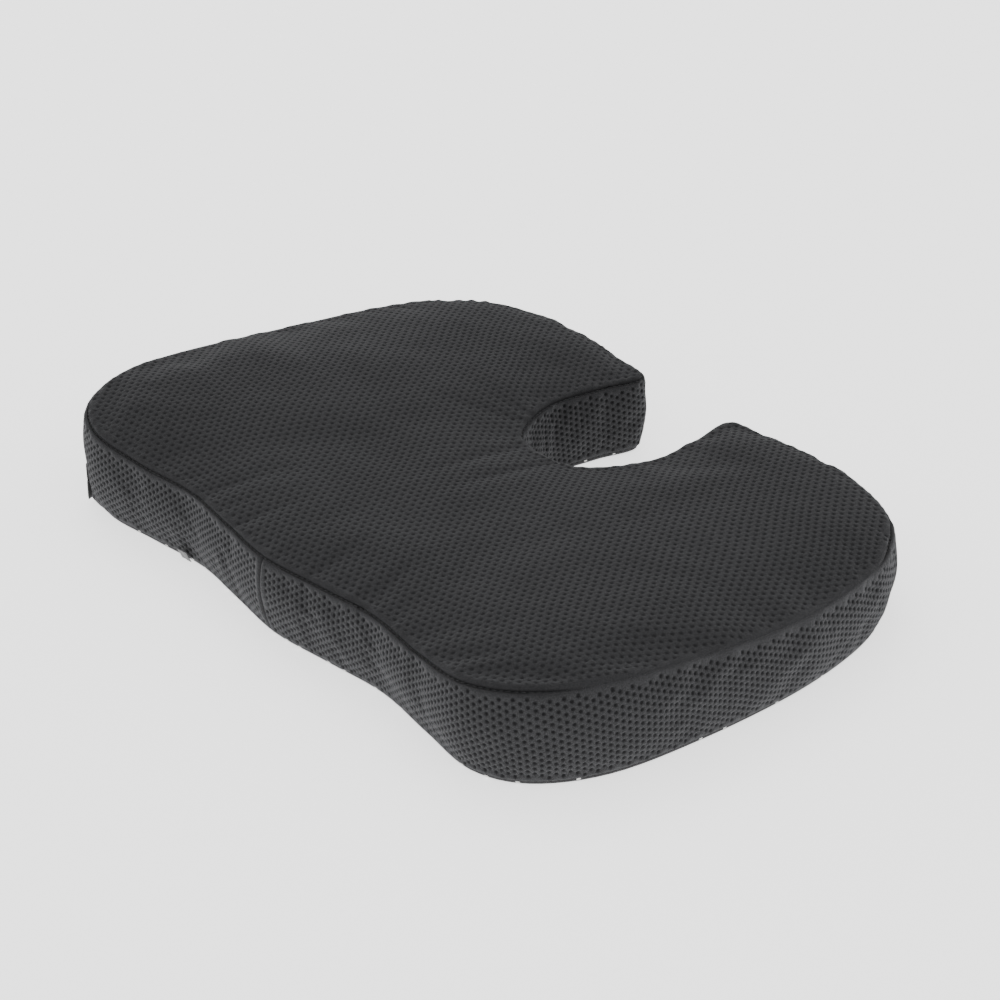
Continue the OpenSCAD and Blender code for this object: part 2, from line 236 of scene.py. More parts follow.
for b, u in enumerate(U_B):
    p = at(u)
    b_of[b] = add([p[0], p[1], float(seam_z(u))])
for j in range(2 * NR + 1):
    idx[j, NT] = b_of[j]
for k, j in enumerate(range(2 * NR - 1, 0, -1)):
    idx[j, 0] = b_of[2 * NR + 1 + k]
idx[0, :] = b_of[0]
idx[2 * NR, :] = b_of[2 * NR]
for j in range(1, 2 * NR):
    for t in range(1, NT):
        idx[j, t] = add(TOP0[j, t])
widx = np.zeros((NB, NV + 1), int)
for b, u in enumerate(U_B):
    widx[b, 0] = b_of[b]
    zt = float(seam_z(u))
    for v in range(1, NV + 1):
        z = zt + (BASE_Z - zt) * v / NV
        p = at(u) + inward(u) * float(wall_in(u, z))
        widx[b, v] = add([p[0], p[1], z])
NTB = 12
bidx = np.full((2 * NR + 1, NTB + 1), -1, int)
for j in range(2 * NR + 1):
    bidx[j, NTB] = widx[j, NV]
for k, j in enumerate(range(2 * NR - 1, 0, -1)):
    bidx[j, 0] = widx[2 * NR + 1 + k, NV]
bidx[0, :] = widx[0, NV]
bidx[2 * NR, :] = widx[2 * NR, NV]
for j in range(1, 2 * NR):
    a, b = np.array(verts[bidx[j, 0]]), np.array(verts[bidx[j, NTB]])
    for t in range(1, NTB):
        p = a + (b - a) * t / NTB
        bidx[j, t] = add([p[0], p[1], 1.6])
V0 = np.array(verts, float)


def grid_faces(g, flip=False):
    out = []
    for j in range(g.shape[0] - 1):
        for t in range(g.shape[1] - 1):
            f = [g[j, t], g[j + 1, t], g[j + 1, t + 1], g[j, t + 1]]
            q = []
            for i in f:
                if i not in q:
                    q.append(int(i))
            if len(q) > 2:
                out.append(q[::-1] if flip else q)
    return out


faces = (grid_faces(idx, True) + grid_faces(bidx, False)
         + grid_faces(np.concatenate([widx, widx[:1]]), True))
NTOPV = len(V0)

# cloth: the cover is sewn down along its seams and swells a little over the foam
def simulate():
    shape = V0.copy()
    ob = new_mesh("pad_net", shape, faces)
    pin = ob.vertex_groups.new(name="pin")
    hold = set(b_of.values()) | set(bidx.ravel().tolist()) | set(widx[:, NV - 1].tolist())
    pin.add(sorted(int(i) for i in hold), 1.0, "REPLACE")
    # the middle of the wall is held a little by the foam behind it
    soft = set(widx[:, 1:NV - 1].ravel().tolist())
    pin.add(sorted(int(i) for i in soft), 0.12, "REPLACE")
    md = ob.modifiers.new("Cloth", "CLOTH")
    st = md.settings
    st.quality = 6
    st.mass = 0.25
    st.tension_stiffness = 12
    st.compression_stiffness = 12
    st.shear_stiffness = 4
    st.bending_stiffness = 0.8
    st.air_damping = 2.0
    st.use_pressure = True
    st.uniform_pressure_force = 2.0
    st.shrink_min = -0.007
    st.effector_weights.gravity = 0
    st.vertex_group_mass = "pin"
    md.collision_settings.use_collision = False
    sc = bpy.context.scene
    sc.frame_start, sc.frame_end = 1, 22
    md.point_cache.frame_start, md.point_cache.frame_end = 1, 22
    for f in range(1, 23):
        sc.frame_set(f)
    ev = ob.evaluated_get(bpy.context.evaluated_depsgraph_get())
    co = np.empty(len(ev.data.vertices) * 3)
    ev.data.vertices.foreach_get("co", co)
    co = co.reshape(-1, 3) / MM
    sc.frame_set(1)
    me = ob.data
    bpy.data.objects.remove(ob)
    bpy.data.meshes.remove(me)
    return co


def net_normals(V):
    """Outward normal at every point of the net."""
    n = np.zeros_like(V)
    for f in faces:
        a, b, c = V[f[0]], V[f[1]], V[f[2]]
        k = np.cross(b - a, c - a)
        if len(f) == 4:
            k = k + np.cross(c - a, V[f[3]] - a)
        for i in f:
            n[i] += k
    n /= np.maximum(np.linalg.norm(n, axis=1, keepdims=True), 1e-9)
    if n[idx[NR, NT // 2], 2] < 0:
        n = -n
    return n


V1 = V0.copy()
V1[idx[1:-1, 1:-1].ravel(), 2] += 1.5 * (1 - (1 - np.minimum(
    (np.minimum(TT, 1 - TT)[None] * np.linalg.norm(at(U_OUT) - at(U_IN), axis=1)[:, None])[1:-1, 1:-1] / SHOULDER, 1)) ** 2).ravel()
try:
    sim = simulate()
    d = sim - V0
    nn = net_normals(V0)
    out = (d * nn).sum(1, keepdims=True)
    along = d - out * nn
    size = np.linalg.norm(along, axis=1, keepdims=True)
    along *= np.tanh(size / 1.5) * 1.5 / np.maximum(size, 1e-9)
    kept = np.where(out > 0, 2.6 * np.tanh(out / 2.6), 0.7 * np.tanh(out / 0.7))
    print("cloth moved (mm): out mean %.2f max %.2f min %.2f" % (float(out.mean()), float(out.max()), float(out.min())))
    V1 = V0 + kept * nn + along * 0.6
except Exception as ex:
    print("cloth simulation failed:", ex)
    raise
TOPP = V1[idx]                                # sewn and swollen positions on the top's net
WALLP = V1[widx]

# ---------------------------------------------------------------- finding a plan point on the top's net
flat_co = np.concatenate([V0[:, :2], np.zeros((len(V0), 1))], 1)
tri_top = []
for q in grid_faces(idx, True):
    tri_top.append((q[0], q[1], q[2]))
    if len(q) == 4:
        tri_top.append((q[0], q[2], q[3]))
tri_top = np.array(tri_top)
BVH = BVHTree.FromPolygons([tuple(p) for p in flat_co], [tuple(int(i) for i in t) for t in tri_top], all_triangles=True)
# heights and shifts come straight from the net, by interpolation in its triangles


def on_top(xy):
    """Heights and shifts of the sewn top at plan points."""
    out = np.zeros((len(xy), 3))
    A = flat_co[tri_top[:, 0]][:, :2]
    B = flat_co[tri_top[:, 1]][:, :2] - A
    C = flat_co[tri_top[:, 2]][:, :2] - A
    det = B[:, 0] * C[:, 1] - B[:, 1] * C[:, 0]
    fi = np.empty(len(xy), int)
    up = Vector((0, 0, -1))
    for i, (x, y) in enumerate(xy):
        hit = BVH.ray_cast(Vector((x, y, 5.0)), up)
        k = hit[2]
        if k is None:
            k = BVH.find_nearest(Vector((x, y, 0.0)))[2]
        fi[i] = k
    P = xy - A[fi]
    w1 = (P[:, 0] * C[fi, 1] - P[:, 1] * C[fi, 0]) / det[fi]
    w2 = (B[fi, 0] * P[:, 1] - B[fi, 1] * P[:, 0]) / det[fi]
    w0 = 1 - w1 - w2
    t = tri_top[fi]
    out = V1[t[:, 0]] * w0[:, None] + V1[t[:, 1]] * w1[:, None] + V1[t[:, 2]] * w2[:, None]
    return out


# signed distance to the outline, and where on it
U_F = np.arange(0, UN, 0.02)
O_F = at(U_F)
N_F = inward(U_F)
SEG = np.linalg.norm(np.roll(O_F, -1, 0) - O_F, axis=1)
ARC = np.concatenate([[0], np.cumsum(SEG)[:-1]])
PERIM = float(SEG.sum())


def edge_dist(xy):
    d = np.empty(len(xy))
    k = np.empty(len(xy), int)
    for c in range(0, len(xy), 2000):
        q = xy[c:c + 2000]
        dd = ((q[:, None, :] - O_F[None]) ** 2).sum(2)
        kk = dd.argmin(1)
        k[c:c + 2000] = kk
        r = q - O_F[kk]
        d[c:c + 2000] = (r * N_F[kk]).sum(1)
    return d, k


def cdt(pts, edges, faces_in=()):
    r = delaunay_2d_cdt([Vector((float(x), float(y))) for x, y in pts],
                        [(int(a), int(b)) for a, b in edges], [list(f) for f in faces_in], 0, 1e-4)
    return r


def lattice(x0, x1, y0, y1, pitch, ang):
    """Centres of a staggered lattice that covers the box, turned by ang degrees."""
    c, s = math.cos(math.radians(ang)), math.sin(math.radians(ang))
    mx, my = (x0 + x1) / 2, (y0 + y1) / 2
    R = math.hypot(x1 - x0, y1 - y0) / 2 + 2 * pitch
    n = int(R / pitch) + 2
    m = int(R / (pitch * 0.866)) + 2
    i, j = np.meshgrid(np.arange(-n, n + 1), np.arange(-m, m + 1))
    px = (i + 0.5 * (j % 2)) * pitch
    py = j * pitch * 0.8660254
    p = np.stack([px.ravel(), py.ravel()], 1)
    q = np.stack([mx + p[:, 0] * c - p[:, 1] * s, my + p[:, 0] * s + p[:, 1] * c], 1)
    return q[(q[:, 0] > x0) & (q[:, 0] < x1) & (q[:, 1] > y0) & (q[:, 1] < y1)]


RIM_N = 6


def holed_sheet(loops, open_loops, centres, rim_r, jitter_seed, keep):
    """Triangles of a flat sheet with a dimple at every centre.
    loops: closed polylines (the first is the border); open_loops: open polylines."""
    pts, edges = [], []
    for lp in loops:
        n0 = len(pts)
        pts.extend(lp.tolist())
        edges += [(n0 + i, n0 + (i + 1) % len(lp)) for i in range(len(lp))]
    for lp in open_loops:
        n0 = len(pts)
        pts.extend(lp.tolist())
        edges += [(n0 + i, n0 + i + 1) for i in range(len(lp) - 1)]
    nh = len(centres)
    ang = (np.arange(RIM_N) + 0.5) * 2 * np.pi / RIM_N
    rj = 1 + 0.07 * noise2(centres[:, 0] * 0.9, centres[:, 1] * 0.9, jitter_seed)
    rim = centres[:, None, :] + (rim_r * rj)[:, None, None] * np.stack([np.cos(ang), np.sin(ang)], 1)[None]
    base = len(pts)
    pts.extend(rim.reshape(-1, 2).tolist())
    for h in range(nh):
        b = base + h * RIM_N
        edges += [(b + i, b + (i + 1) % RIM_N) for i in range(RIM_N)]
    r = cdt(pts, edges)
    vo = np.array([[v[0], v[1]] for v in r[0]])
    orig = r[3]
    hole_of = np.full(len(vo), -1)
    rim_id = np.full(len(vo), -1)
    for i, o in enumerate(orig):
        for q in o:
            if q >= base:
                hole_of[i] = (q - base) // RIM_N
                rim_id[i] = (q - base) % RIM_N
                break
    tris = np.array([t for t in r[2] if len(t) == 3])
    h3 = hole_of[tris]
    inside = (h3[:, 0] >= 0) & (h3[:, 0] == h3[:, 1]) & (h3[:, 1] == h3[:, 2])
    tris = tris[~inside]
    cen = vo[tris].mean(1)
    tris = tris[keep(cen)]
    # rim vertex table
    tab = np.full((nh, RIM_N), -1)
    m = hole_of >= 0
    tab[hole_of[m], rim_id[m]] = np.nonzero(m)[0]
    ok = (tab >= 0).all(1)
    tab = tab[ok]
    cc = centres[ok]
    return vo, tris, tab, cc


def build_holed(name, loops, open_loops, centres, rim_r, floor_r, depth, place, keep, mat, seed=3, hole_shade=0.8):
    """place(xy) -> (position, normal, base painted-shade value) for flat points."""
    vo, tris, tab, cc = holed_sheet(loops, open_loops, centres, rim_r, seed, keep)
    nv, nh = len(vo), len(cc)
    ang = (np.arange(RIM_N) + 0.5) * 2 * np.pi / RIM_N
    fl = cc[:, None, :] + floor_r * np.stack([np.cos(ang), np.sin(ang)], 1)[None]
    flat = np.concatenate([vo, fl.reshape(-1, 2), cc])
    pos, nor, painted_shade = place(flat)
    down = np.zeros(len(flat))
    down[nv:nv + nh * RIM_N] = depth
    down[nv + nh * RIM_N:] = depth * 1.12
    pos = pos - nor * down[:, None]
    f0 = nv + np.arange(nh)[:, None] * RIM_N
    i = np.arange(RIM_N)
    i2 = (i + 1) % RIM_N
    a, b = tab[:, i], tab[:, i2]
    c, d = f0 + i, f0 + i2
    ctr = (nv + nh * RIM_N + np.arange(nh))[:, None] + 0 * i
    walls = np.concatenate([np.stack([a, b, d], -1).reshape(-1, 3), np.stack([a, d, c], -1).reshape(-1, 3),
                            np.stack([c, d, ctr], -1).reshape(-1, 3)])
    allt = np.concatenate([tris, walls])
    # painted shade: the hole walls and floors take the full hole_shade value and the rims a little of it, so the holes
    # are coloured darker
    shade_v = painted_shade.copy()
    shade_v[nv:nv + nh * RIM_N] = hole_shade
    shade_v[nv + nh * RIM_N:] = hole_shade
    rimset = np.zeros(len(flat), bool)
    rimset[tab.ravel()] = True
    shade_v[rimset] = np.maximum(shade_v[rimset], 0.12 * hole_shade)
    # face direction: normals along nor
    A, B, C = pos[allt[:, 0]], pos[allt[:, 1]], pos[allt[:, 2]]
    fn = np.cross(B - A, C - A)
    flipm = (fn * nor[allt].mean(1)).sum(1) < 0
    allt[flipm] = allt[flipm][:, ::-1]
    ob = new_mesh(name, pos, allt, mat, attrs={"depth": shade_v})
    print(name, "holes", nh, "triangles", len(allt))
    return ob


# ---------------------------------------------------------------- materials
def mat_new(name):
    m = bpy.data.materials.new(name)
    m.use_nodes = True
    nt = m.node_tree
    nt.nodes.clear()
    out = nt.nodes.new("ShaderNodeOutputMaterial")
    bs = nt.nodes.new("ShaderNodeBsdfPrincipled")
    nt.links.new(bs.outputs[0], out.inputs[0])
    return m, nt, bs


def N(nt, kind, **kw):
    n = nt.nodes.new(kind)
    for k, v in kw.items():
        if k.startswith("in_"):
            n.inputs[k[3:].replace("_", " ")].default_value = v
        else:
            setattr(n, k, v)
    return n


def mix_col(nt, fac, a, b, mode="MIX"):
    n = nt.nodes.new("ShaderNodeMix")
    n.data_type = "RGBA"
    n.blend_type = mode
    for sock, val in ((n.inputs[0], fac), (n.inputs[6], a), (n.inputs[7], b)):
        if hasattr(val, "is_output"):
            nt.links.new(val, sock)
        elif isinstance(val, (tuple, list)):
            sock.default_value = (*val, 1.0) if len(val) == 3 else val
        else:
            sock.default_value = val
    return n.outputs[2]


def math_n(nt, op, a, b=None, c=None, clamp=False):
    n = nt.nodes.new("ShaderNodeMath")
    n.operation = op
    n.use_clamp = clamp
    for i, v in enumerate((a, b, c)):
        if v is None:
            continue
        if hasattr(v, "is_output"):
            nt.links.new(v, n.inputs[i])
        else:
            n.inputs[i].default_value = v
    return n.outputs[0]


def mesh_material(name, base, shade_col, yarn=1500.0, sheen=0.35):
    """Spacer mesh: knitted yarn net, coloured darker into its cells and seam grooves as painted shade."""
    m, nt, bs = mat_new(name)
    tc = N(nt, "ShaderNodeTexCoord")
    obj = tc.outputs["Object"]
    vor = N(nt, "ShaderNodeTexVoronoi", feature="F1")
    vor.inputs["Scale"].default_value = yarn
    vor.inputs["Randomness"].default_value = 0.75
    nt.links.new(obj, vor.inputs["Vector"])
    fine = N(nt, "ShaderNodeTexNoise")
    fine.inputs["Scale"].default_value = 3800.0
    fine.inputs["Detail"].default_value = 3.0
    nt.links.new(obj, fine.inputs["Vector"])
    big = N(nt, "ShaderNodeTexNoise")
    big.inputs["Scale"].default_value = 16.0
    big.inputs["Detail"].default_value = 3.0
    nt.links.new(obj, big.inputs["Vector"])
    painted_shade = N(nt, "ShaderNodeAttribute", attribute_name="depth")
    # yarn: knit pattern, coloured with painted highlight on the crowns and painted shade between them
    yr = N(nt, "ShaderNodeMapRange")
    yr.inputs["From Min"].default_value = 0.0
    yr.inputs["From Max"].default_value = 0.75
    yr.inputs["To Min"].default_value = 1.0
    yr.inputs["To Max"].default_value = 0.0
    nt.links.new(vor.outputs["Distance"], yr.inputs["Value"])
    hi = tuple(min(1.0, c * 1.65) for c in base)
    lo = tuple(c * 0.52 for c in base)
    c1 = mix_col(nt, yr.outputs[0], lo, hi)
    f2 = math_n(nt, "MULTIPLY_ADD", fine.outputs["Fac"], 0.9, -0.1, clamp=True)
    c2 = mix_col(nt, f2, c1, hi)
    c2 = mix_col(nt, 0.55, c1, c2)
    bigv = math_n(nt, "MULTIPLY_ADD", big.outputs["Fac"], 0.5, 0.75)
    comb = N(nt, "ShaderNodeCombineColor")
    for i in range(3):
        nt.links.new(bigv, comb.inputs[i])
    c3 = mix_col(nt, 1.0, c2, comb.outputs[0], "MULTIPLY")
    # painted shade: the colour is mixed towards the dark shade colour where the depth attribute is high, in holes and
    # seam grooves
    dpow = math_n(nt, "POWER", painted_shade.outputs["Fac"], 0.8, clamp=True)
    c4 = mix_col(nt, dpow, c3, shade_col)
    nt.links.new(c4, bs.inputs["Base Color"])
    rr = math_n(nt, "MULTIPLY_ADD", fine.outputs["Fac"], 0.25, 0.7, clamp=True)
    nt.links.new(rr, bs.inputs["Roughness"])
    bs.inputs["Sheen Weight"].default_value = sheen
    bs.inputs["Sheen Roughness"].default_value = 0.45
    bs.inputs["Sheen Tint"].default_value = (0.75, 0.76, 0.8, 1)
    bs.inputs["Specular IOR Level"].default_value = 0.25
    hsum = math_n(nt, "MULTIPLY_ADD", fine.outputs["Fac"], 0.35, yr.outputs[0])
    bump = N(nt, "ShaderNodeBump")
    bump.inputs["Strength"].default_value = 0.55
    bump.inputs["Distance"].default_value = 0.00035
    nt.links.new(hsum, bump.inputs["Height"])
    nt.links.new(bump.outputs[0], bs.inputs["Normal"])
    return m


def cloth_material(name, base, scale=900.0, rough=0.9, sheen=0.2, contrast=0.5, bump_d=0.0002):
    """Plain woven or knitted cloth by two crossed wave bands."""
    m, nt, bs = mat_new(name)
    tc = N(nt, "ShaderNodeTexCoord")
    w = []
    for d in ("X", "Y"):
        wv = N(nt, "ShaderNodeTexWave", wave_type="BANDS", bands_direction=d)
        wv.inputs["Scale"].default_value = scale / 6.283
        wv.inputs["Distortion"].default_value = 1.2
        wv.inputs["Detail"].default_value = 1.0
        nt.links.new(tc.outputs["Object"], wv.inputs["Vector"])
        w.append(wv.outputs["Fac"])
    mx = math_n(nt, "MULTIPLY", w[0], w[1])
    ns = N(nt, "ShaderNodeTexNoise")
    ns.inputs["Scale"].default_value = 60.0
    ns.inputs["Detail"].default_value = 6.0
    nt.links.new(tc.outputs["Object"], ns.inputs["Vector"])
    fac = math_n(nt, "MULTIPLY_ADD", ns.outputs["Fac"], 0.5, mx, clamp=True)
    lo = tuple(c * (1 - contrast) for c in base)
    hi = tuple(min(1, c * (1 + contrast * 0.6)) for c in base)
    nt.links.new(mix_col(nt, fac, lo, hi), bs.inputs["Base Color"])
    rr = math_n(nt, "MULTIPLY_ADD", ns.outputs["Fac"], 0.2, rough - 0.12, clamp=True)
    nt.links.new(rr, bs.inputs["Roughness"])
    bs.inputs["Sheen Weight"].default_value = sheen
    bump = N(nt, "ShaderNodeBump")
    bump.inputs["Strength"].default_value = 0.5
    bump.inputs["Distance"].default_value = bump_d
    nt.links.new(mx, bump.inputs["Height"])
    nt.links.new(bump.outputs[0], bs.inputs["Normal"])
    return m


def solid_material(name, base, rough, metallic=0.0, coat=0.0, grain=0.15, scale=400.0, bump_d=0.00005):
    m, nt, bs = mat_new(name)
    tc = N(nt, "ShaderNodeTexCoord")
    ns = N(nt, "ShaderNodeTexNoise")
    ns.inputs["Scale"].default_value = scale
    ns.inputs["Detail"].default_value = 5.0
    nt.links.new(tc.outputs["Object"], ns.inputs["Vector"])
    lo = tuple(c * (1 - grain) for c in base)
    hi = tuple(min(1, c * (1 + grain)) for c in base)
    nt.links.new(mix_col(nt, ns.outputs["Fac"], lo, hi), bs.inputs["Base Color"])
    rr = math_n(nt, "MULTIPLY_ADD", ns.outputs["Fac"], 0.25, rough - 0.12, clamp=True)
    nt.links.new(rr, bs.inputs["Roughness"])
    bs.inputs["Metallic"].default_value = metallic
    bs.inputs["Coat Weight"].default_value = coat
    bump = N(nt, "ShaderNodeBump")
    bump.inputs["Strength"].default_value = 0.4
    bump.inputs["Distance"].default_value = bump_d
    nt.links.new(ns.outputs["Fac"], bump.inputs["Height"])
    nt.links.new(bump.outputs[0], bs.inputs["Normal"])
    return m


# mesh_top and mesh_wall are one fabric: the top's base colour is set darker than the walls' as painted shade
M_TOP_SHADED = mesh_material("mesh_top", (0.0205, 0.0205, 0.0220), (0.0062, 0.0062, 0.0067), sheen=0.09)
M_WALL = mesh_material("mesh_wall", (0.0250, 0.0250, 0.0266), (0.0038, 0.0038, 0.0043), sheen=0.12)
M_BASE = cloth_material("base_fabric", (0.022, 0.022, 0.0235), 1100.0, 0.92, 0.3)
M_DOT = solid_material("grip_rubber", (0.62, 0.62, 0.6), 0.45, 0.0, 0.0, 0.08)
M_THREAD = cloth_material("thread", (0.015, 0.015, 0.016), 2500.0, 0.7, 0.1)
M_TAPE = cloth_material("zip_tape", (0.018, 0.018, 0.019), 1600.0, 0.85, 0.2)
M_TEETH = solid_material("zip_teeth", (0.02, 0.02, 0.021), 0.35, 0.0, 0.1)
M_METAL = solid_material("zip_metal", (0.016, 0.016, 0.017), 0.33, 0.2, 0.3)
M_FOAM = solid_material("foam", (0.72, 0.66, 0.47), 0.95, 0.0, 0.0, 0.2, 1500.0, 0.0004)
M_LINER = cloth_material("liner", (0.62, 0.62, 0.6), 1500.0, 0.9, 0.2, 0.25)
M_LABEL = cloth_material("label", (0.1, 0.1, 0.102), 2600.0, 0.6, 0.1, 0.2)


# ---------------------------------------------------------------- the top panel
def seam_wave(k):
    """Gathers along the seam: about one every 9 mm, uneven."""
    s = ARC[k]
    return (np.sin(2 * np.pi * s / 8.7 + 2.2 * noise2(s / 31.0, 3.0, 5)) * (0.65 + 0.35 * noise2(s / 17.0, 9.0, 6))
            + 0.5 * noise2(s / 5.2, 1.0, 7))


def groove(k):
    u = U_F[k]
    u = np.where(u <= HN, u, UN - u)
    return 1 - 0.85 * smooth(5.0, 5.9, u) * (1 - smooth(9.0, 10.2, u))


def place_top(xy):
    P = on_top(xy)
    d, k = edge_dist(xy)
    d = np.maximum(d, 0)
    e = 0.8
    # slope of the sewn form by finite steps
    Px = on_top(xy + [e, 0]) - on_top(xy - [e, 0])
    Py = on_top(xy + [0, e]) - on_top(xy - [0, e])
    n = np.cross(Px, Py)
    n[n[:, 2] < 0] *= -1
    n /= np.maximum(np.linalg.norm(n, axis=1, keepdims=True), 1e-9)
    inn = np.concatenate([N_F[k], np.zeros((len(xy), 1))], 1)
    w = seam_wave(k)
    A = groove(k)
    g = np.exp(-(d / 0.95) ** 2) * A
    ridge = np.exp(-((d - 3.4) / 1.9) ** 2) * (0.25 + 0.75 * A)
    P = P + inn * (1.7 * g)[:, None]
    P[:, 2] += -1.7 * g + ridge * (0.65 + 0.2 * w)
    P[:, 2] += 0.2 * w * (0.3 + 0.7 * A) * np.exp(-np.maximum(d - 3, 0) / 7.5) * (1 - np.exp(-d / 1.5))
    # softness of the foam under the cover
    x, y = xy[:, 0], xy[:, 1]
    soft = (1 - np.exp(-d / 14.0))
    P[:, 2] += soft * (0.9 * noise2(x / 47.0, y / 41.0, 11) + 0.45 * noise2(x / 21.0, y / 19.0, 12))
    # painted shade: the colour darkens along the sewn groove at the seam
    painted_shade = 0.75 * np.exp(-(d / 1.3) ** 2) * A
    return P, n, painted_shade


def inset_loop(e, step):
    """The outline moved inwards, at about the given spacing."""
    n = int(PERIM / step)
    s = np.arange(n) * PERIM / n
    u = np.interp(s, np.concatenate([ARC, [PERIM]]), np.concatenate([U_F, [UN]]))
    return at(u) + inward(u) * e


PITCH_T = 4.7
cen = lattice(-226, 226, -162, 162, PITCH_T, 9.4)
# the knit is pulled a little out of true
cen = cen + np.stack([2.2 * noise2(cen[:, 0] / 60, cen[:, 1] / 60, 21), 2.2 * noise2(cen[:, 0] / 60, cen[:, 1] / 60, 22)], 1)
dC, kC = edge_dist(cen)
inbox = dC > 3.4
cen = cen[inbox]
O_POLY = inset_loop(0, 4.0)


def inside_poly(pts, poly):
    x, y = pts[:, 0][:, None], pts[:, 1][:, None]
    a, b = poly, np.roll(poly, -1, 0)
    c = ((a[None, :, 1] > y) != (b[None, :, 1] > y)) & (x < (b[None, :, 0] - a[None, :, 0]) * (y - a[None, :, 1])
                                                       / (b[None, :, 1] - a[None, :, 1] + 1e-12) + a[None, :, 0])
    return c.sum(1) % 2 == 1


def inside_big(pts, poly):
    out = np.zeros(len(pts), bool)
    for c in range(0, len(pts), 3000):
        out[c:c + 3000] = inside_poly(pts[c:c + 3000], poly)
    return out


cen = cen[inside_big(cen, O_POLY)]
top = build_holed("cover_top", [inset_loop(0, 1.5), inset_loop(0.8, 1.8), inset_loop(1.6, 1.9)],
                  [], cen, 1.5, 0.75, 0.62, place_top, lambda c: inside_big(c, inset_loop(0, 1.5)), M_TOP_SHADED, hole_shade=0.42)
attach(top, "root"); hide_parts("top_panel")


# ---------------------------------------------------------------- the side bands
B_U = U_B.copy()
# one steadily growing parameter round the outline, from the left pole (-12) to the right pole (12), then back along the notch to 24
B_PAR = np.concatenate([U_OUT, U_IN[1:-1][::-1]])
WP = np.concatenate([WALLP, WALLP[:1]])
BP = np.concatenate([B_PAR, [24.0]])


def on_wall(u, z):
    """Sewn and swollen wall at outline parameter u in -12..24 and rest height z."""
    f = np.interp(u, BP, np.arange(len(BP)))
    i = np.clip(np.floor(f).astype(int), 0, len(BP) - 2)
    a = (f - i)[:, None]
    zt = seam_z(u)
    g = np.clip((zt - z) / (zt - BASE_Z), 0, 1) * NV
    k = np.clip(np.floor(g).astype(int), 0, NV - 1)
    b = (g - k)[:, None]

    def row(ii):
        km, kp, kq = np.clip(k - 1, 0, NV), k + 1, np.clip(k + 2, 0, NV)
        p0, p1, p2, p3 = WP[ii, km], WP[ii, k], WP[ii, kp], WP[ii, kq]
        return 0.5 * (2 * p1 + (p2 - p0) * b + (2 * p0 - 5 * p1 + 4 * p2 - p3) * b * b + (3 * p1 - p0 - 3 * p2 + p3) * b ** 3)
    im, ip, iq = np.clip(i - 1, 0, len(BP) - 1), i + 1, np.clip(i + 2, 0, len(BP) - 1)
    r0, r1, r2, r3 = row(im), row(i), row(ip), row(iq)
    return 0.5 * (2 * r1 + (r2 - r0) * a + (2 * r0 - 5 * r1 + 4 * r2 - r3) * a * a + (3 * r1 - r0 - 3 * r2 + r3) * a ** 3)


def arc_table(u0, u1, n=1500):
    u = np.linspace(u0, u1, n)
    p = at(u)
    s = np.concatenate([[0], np.cumsum(np.linalg.norm(np.diff(p, axis=0), axis=1))])
    return u, s


